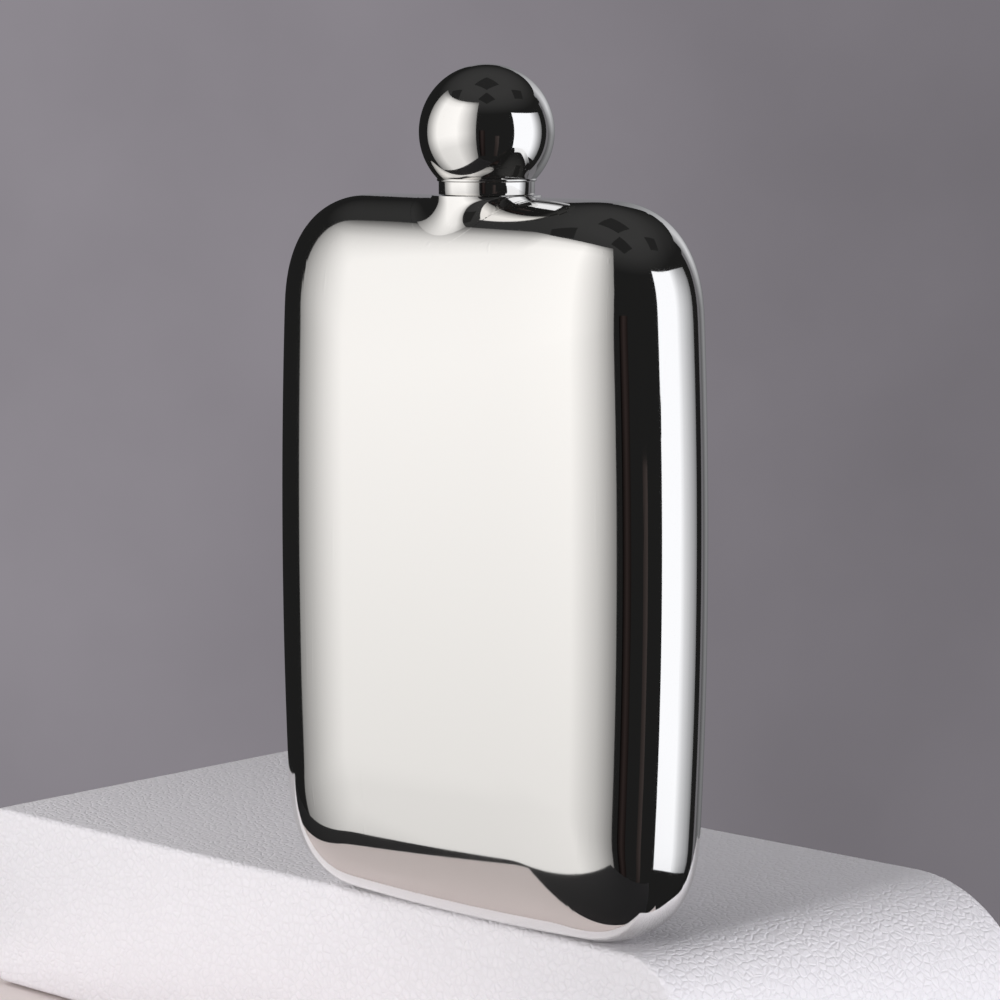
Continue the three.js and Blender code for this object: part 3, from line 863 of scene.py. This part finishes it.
def studio_wall(name, azimuths, distance, low, high, colour, along, upward, steps=40):
    """A lit wall that curves round the flask. Azimuths are degrees to the right of the camera as it
    sees the flask; low and high are elevations at both ends, seen from the cap. `along` and `upward`
    are brightness stops."""
    mesh = bmesh.new()
    chart = mesh.loops.layers.uv.new("UVMap")
    bmesh.ops.create_grid(mesh, x_segments=steps, y_segments=8, size=0.5)
    for face in mesh.faces:
        for loop in face.loops:
            loop[chart].uv = (loop.vert.co.x + 0.5, loop.vert.co.y + 0.5)
    for vert in mesh.verts:
        u, v = vert.co.x + 0.5, vert.co.y + 0.5
        azimuth = math.radians(azimuths[0] + (azimuths[1] - azimuths[0]) * u) + CAMERA_AZIMUTH
        bottom = math.tan(math.radians(low[0] + (low[1] - low[0]) * u))
        top = math.tan(math.radians(high[0] + (high[1] - high[0]) * u))
        height = CAP_HEIGHT + distance * (bottom + (top - bottom) * v)
        vert.co = (distance * math.sin(azimuth), -distance * math.cos(azimuth), height)
    material = bpy.data.materials.new(name)
    material.use_nodes = True
    nodes, links = material.node_tree.nodes, material.node_tree.links
    nodes.clear()
    light = nodes.new("ShaderNodeEmission")
    light.inputs["Color"].default_value = (*colour, 1)
    output = nodes.new("ShaderNodeOutputMaterial")
    chart_node = nodes.new("ShaderNodeUVMap")
    parts = nodes.new("ShaderNodeSeparateXYZ")
    product = nodes.new("ShaderNodeMath")
    product.operation = "MULTIPLY"
    links.new(chart_node.outputs["UV"], parts.inputs["Vector"])
    links.new(grey_ramp(nodes, links, parts.outputs["X"], along), product.inputs[0])
    links.new(grey_ramp(nodes, links, parts.outputs["Y"], upward), product.inputs[1])
    links.new(product.outputs["Value"], light.inputs["Strength"])
    links.new(light.outputs["Emission"], output.inputs["Surface"])
    piece = stage_piece(name, mesh, material)
    piece.visible_camera = False
    return piece


studio_wall("left_scrim", (-120, -18), 0.78, (-58, -58), (43, 50), (1, 0.985, 0.97),
            ((0, 0.3), (0.12, 0.62), (0.27, 1.12), (0.66, 1.2), (0.84, 0.78), (1, 0.28)),
            ((0, 0.7), (0.45, 0.78), (0.57, 1.0), (0.87, 1.0), (0.94, 0.85), (1, 0.4)))
studio_wall("right_panel", (47, 106), 0.72, (-31, -31), (30, 20), (0.965, 0.98, 1.02),
            ((0, 1.22), (0.62, 1.22), (0.86, 0.5), (1, 0.2)), ((0, 0.9), (0.2, 1), (1, 1)))
studio_wall("rear_cloth", (121, 186), 1.3, (-40, -40), (24, 24), (0.95, 0.93, 1),
            ((0, 0.18), (1, 0.25)), ((0, 1), (1, 1)))
studio_wall("rear_glow", (128, 174), 1.2, (-28, -28), (31, 27), (0.95, 0.96, 1),
            ((0, 0.3), (0.35, 0.8), (0.7, 0.55), (1, 0.25)),
            ((0, 0.2), (0.45, 0.4), (0.7, 1), (1, 0.8)))

# Painted light: the doorway and the stand are dim warm walls that glow to stand in for lit things of the
# room, seen in reflections.
studio_wall("doorway", (-13, -3), 1.6, (-40, -40), (3, 3), (1, 0.72, 0.68),
            ((0, 0.0), (0.5, 0.035), (1, 0.01)), ((0, 0.6), (1, 1)))
studio_wall("stand", (14, 21), 1.5, (-40, -40), (-6, -6), (1, 0.8, 0.76),
            ((0, 0.03), (1, 0.06)), ((0, 0.6), (1, 1)))

TILE_HEIGHT = 2.2
TILE_HALF = 0.55
TILE_STEP = 1.75
TILE_GLOW = 0.017
for k, (right_way, forward) in enumerate(((-1, 0), (0, 0), (1, 0), (0, 0.75))):
    tile = bmesh.new()
    bmesh.ops.create_circle(tile, cap_ends=True, segments=4, radius=TILE_HALF)
    bmesh.ops.translate(tile, verts=tile.verts,
                        vec=(right_way * TILE_STEP, -forward * TILE_STEP, TILE_HEIGHT))
    bmesh.ops.rotate(tile, verts=tile.verts, cent=(0, 0, 0),
                     matrix=Matrix.Rotation(CAMERA_AZIMUTH, 3, "Z"))
    # Painted light: each dark ceiling tile glows faintly, standing in for the light that falls on it.
    panel = plain_matt("tile", (0.02, 0.02, 0.02))
    surface = panel.node_tree.nodes["Principled BSDF"]
    surface.inputs["Emission Color"].default_value = (1, 1, 1, 1)
    surface.inputs["Emission Strength"].default_value = TILE_GLOW
    stage_piece(f"tile_{k}", tile, panel)


def soft_light(name, place, size, energy):
    """A soft light on the slab that the steel doesn't mirror."""
    lamp = bpy.data.objects.new(name, bpy.data.lights.new(name, "AREA"))
    bpy.context.collection.objects.link(lamp)
    lamp.location = place
    lamp.rotation_euler = (-Vector(place)).to_track_quat("-Z", "Y").to_euler()
    lamp.data.size = size
    lamp.data.energy = energy
    lamp.data.color = (1, 0.985, 1)
    lamp.visible_glossy = False
    return lamp


soft_light("overhead", (0.1, -0.1, 1.1), 0.9, 1.3)
soft_light("left_fill", (-0.8, -0.1, 0.55), 0.6, 3.3)
soft_light("front_fill", (-0.02, -0.6, 0.04), 0.45, 1.6)
soft_light("right_fill", (0.55, 0.02, 0.02), 0.35, 2.0)

world = bpy.data.worlds.new("room")
bpy.context.scene.world = world
world.use_nodes = True
room, room_links = world.node_tree.nodes, world.node_tree.links
where = room.new("ShaderNodeTexCoord")
heading = room.new("ShaderNodeSeparateXYZ")
room_links.new(where.outputs["Generated"], heading.inputs["Vector"])
dark = room["Background"]
room_links.new(
    grey_ramp(room, room_links, heading.outputs["Z"], ((0.5, 0.014), (0.72, 0.036), (0.9, 0.045))),
    dark.inputs["Color"],
)
cloth = room.new("ShaderNodeBackground")
mottle = room.new("ShaderNodeTexNoise")
mottle.inputs["Scale"].default_value = 7
mottle.inputs["Detail"].default_value = 5
room_links.new(where.outputs["Generated"], mottle.inputs["Vector"])
across = room.new("ShaderNodeVectorMath")
across.operation = "DOT_PRODUCT"
across.inputs[1].default_value = (math.cos(CAMERA_AZIMUTH), math.sin(CAMERA_AZIMUTH), -0.35)
room_links.new(where.outputs["Generated"], across.inputs[0])
shade_across = ramp_between(room, room_links, across.outputs["Value"], 0.262, 0.17, -0.12, 0.19)
shade_mottle = ramp_between(room, room_links, mottle.outputs["Fac"], 0.9, 1.1, 0.3, 0.7)
level = room.new("ShaderNodeMath")
level.operation = "MULTIPLY"
room_links.new(shade_across, level.inputs[0])
room_links.new(shade_mottle, level.inputs[1])
room_links.new(level.outputs["Value"], cloth.inputs["Strength"])
cloth.inputs["Color"].default_value = (1, 0.93, 1.03, 1)
seen = room.new("ShaderNodeLightPath")
choose = room.new("ShaderNodeMixShader")
room_links.new(seen.outputs["Is Camera Ray"], choose.inputs["Fac"])
room_links.new(dark.outputs["Background"], choose.inputs[1])
room_links.new(cloth.outputs["Background"], choose.inputs[2])
room_links.new(choose.outputs["Shader"], room["World Output"].inputs["Surface"])
bpy.context.scene.view_settings.view_transform = "Standard"
